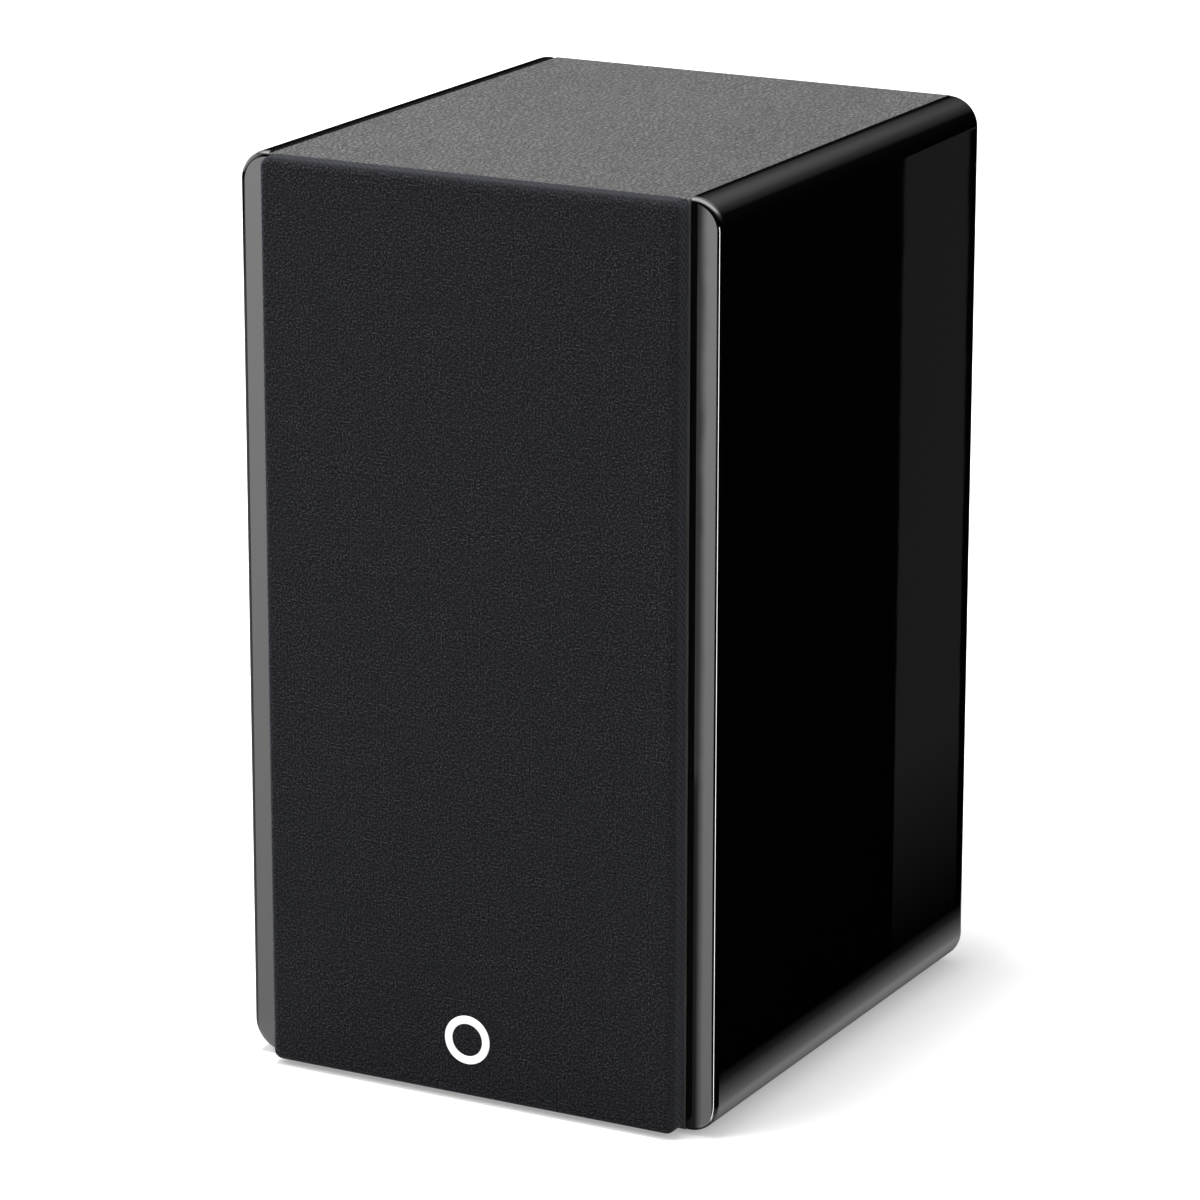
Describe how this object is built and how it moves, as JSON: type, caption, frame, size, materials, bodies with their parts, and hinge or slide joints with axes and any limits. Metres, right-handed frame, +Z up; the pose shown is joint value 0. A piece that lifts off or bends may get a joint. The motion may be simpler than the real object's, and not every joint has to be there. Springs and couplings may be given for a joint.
{
  "type": "bookshelf speaker",
  "caption": "Black two-way bookshelf loudspeaker with rounded gloss side cheeks, grained leathercloth top, full-height cloth grille, rear reflex port and recessed terminals.",
  "frame": {"origin": "on the shelf, under the middle of the speaker's box", "axes": "+X to the right seen from the front, the front grille faces -Y, +Z up"},
  "size_m": [0.22, 0.2604, 0.39],
  "materials": {
    "lacquered_side": "gloss",
    "board_wood": "matte",
    "black_wood": "matte",
    "leathercloth": "grained",
    "brace_wood": "matte",
    "wadding": "matte",
    "foot_rubber": "matte",
    "frame_plastic": "matte",
    "grille_fabric": "woven",
    "badge_white": "satin",
    "cast_basket": "satin",
    "surround_rubber": "matte",
    "cone_pulp": "matte",
    "former_foil": "satin",
    "copper_winding": "satin",
    "spider_cloth": "matte",
    "plated_steel": "satin",
    "ferrite": "matte",
    "screw_black": "satin",
    "screw_steel": "satin",
    "strip_fibre": "matte",
    "tab_brass": "satin",
    "tweeter_plate": "satin",
    "dome_silk": "satin",
    "guard_steel": "satin",
    "moulded_black": "satin",
    "gasket_foam": "matte",
    "gold_plate": "polished",
    "red_plastic": "gloss",
    "black_plastic": "gloss",
    "circuit_board": "matte",
    "component_body": "satin",
    "ceramic_white": "matte",
    "wire_sleeve": "satin"
  },
  "bodies": {
    "cabinet": {"side_panel_left": "lacquered_side", "side_panel_right": "lacquered_side", "top_panel": "board_wood", "bottom_panel": "black_wood", "front_baffle": "black_wood", "rear_panel": "black_wood", "top_covering": "leathercloth", "internal_brace": "brace_wood", "wadding_left": "wadding", "wadding_right": "wadding", "rubber_feet": "foot_rubber", "grille_sockets": "moulded_black", "woofer_basket": "cast_basket", "woofer_trim": "moulded_black", "woofer_surround": "surround_rubber", "woofer_spider": "spider_cloth", "woofer_top_plate": "plated_steel", "woofer_magnet": "ferrite", "woofer_back_plate": "plated_steel", "woofer_screws": "screw_black", "woofer_tab_strip": "strip_fibre", "woofer_tabs": "tab_brass", "tweeter_faceplate": "tweeter_plate", "tweeter_surround": "dome_silk", "tweeter_top_plate": "plated_steel", "tweeter_magnet": "ferrite", "tweeter_back_plate": "plated_steel", "tweeter_chamber": "moulded_black", "tweeter_guard": "guard_steel", "tweeter_screws": "screw_black", "tweeter_tab_strip": "strip_fibre", "tweeter_tabs": "tab_brass", "port_tube": "moulded_black", "terminal_cup": "moulded_black", "terminal_gasket": "gasket_foam", "terminal_screws": "screw_black", "post_studs": "gold_plate", "post_nuts": "gold_plate", "collar_red": "red_plastic", "collar_black": "black_plastic", "crossover_board": "circuit_board", "crossover_parts": "ceramic_white", "crossover_inductors": "copper_winding", "crossover_capacitors": "component_body", "crossover_fixings": "screw_steel", "wiring": "wire_sleeve"},
    "grille": {"grille_frame": "frame_plastic", "grille_cloth": "grille_fabric", "grille_pegs": "frame_plastic", "badge": "badge_white"},
    "woofer_moving": {"woofer_cone": "cone_pulp", "woofer_dust_cap": "cone_pulp", "woofer_coil_former": "former_foil", "woofer_voice_coil": "copper_winding"},
    "tweeter_moving": {"tweeter_dome": "dome_silk", "tweeter_voice_coil": "copper_winding"},
    "red_washer": {"washer_red": "gold_plate"},
    "red_knob": {"knob_red": "red_plastic"},
    "black_washer": {"washer_black": "gold_plate"},
    "black_knob": {"knob_black": "black_plastic"}
  },
  "joints": [
    {"name": "grille_pull", "type": "slide", "parent": "cabinet", "child": "grille", "axis": [0, -1, 0], "range_m": [0, 0.0105]},
    {"name": "woofer_travel", "type": "slide", "parent": "cabinet", "child": "woofer_moving", "axis": [0, -1, 0], "range_m": [-0.004, 0.004], "stiffness_N_per_m": 1200, "deforming": ["woofer_surround", "woofer_spider"]},
    {"name": "tweeter_travel", "type": "slide", "parent": "cabinet", "child": "tweeter_moving", "axis": [0, -1, 0], "range_m": [-0.0004, 0.0004], "stiffness_N_per_m": 50, "deforming": ["tweeter_surround"]},
    {"name": "red_knob_travel", "type": "slide", "parent": "cabinet", "child": "red_washer", "axis": [0, 1, 0], "range_m": [0, 0.004]},
    {"name": "red_knob_turn", "type": "hinge", "parent": "red_washer", "child": "red_knob", "pos_m": [0.015, 0.1146, 0.1], "axis": [0, 1, 0], "range_deg": [0, 1800]},
    {"name": "black_knob_travel", "type": "slide", "parent": "cabinet", "child": "black_washer", "axis": [0, 1, 0], "range_m": [0, 0.004]},
    {"name": "black_knob_turn", "type": "hinge", "parent": "black_washer", "child": "black_knob", "pos_m": [-0.015, 0.1146, 0.1], "axis": [0, 1, 0], "range_deg": [0, 1800]}
  ],
  "couplings": [
    {"joint": "red_knob_turn", "follows": "red_knob_travel", "rad_per_m": 7854},
    {"joint": "black_knob_turn", "follows": "black_knob_travel", "rad_per_m": 7854}
  ]
}
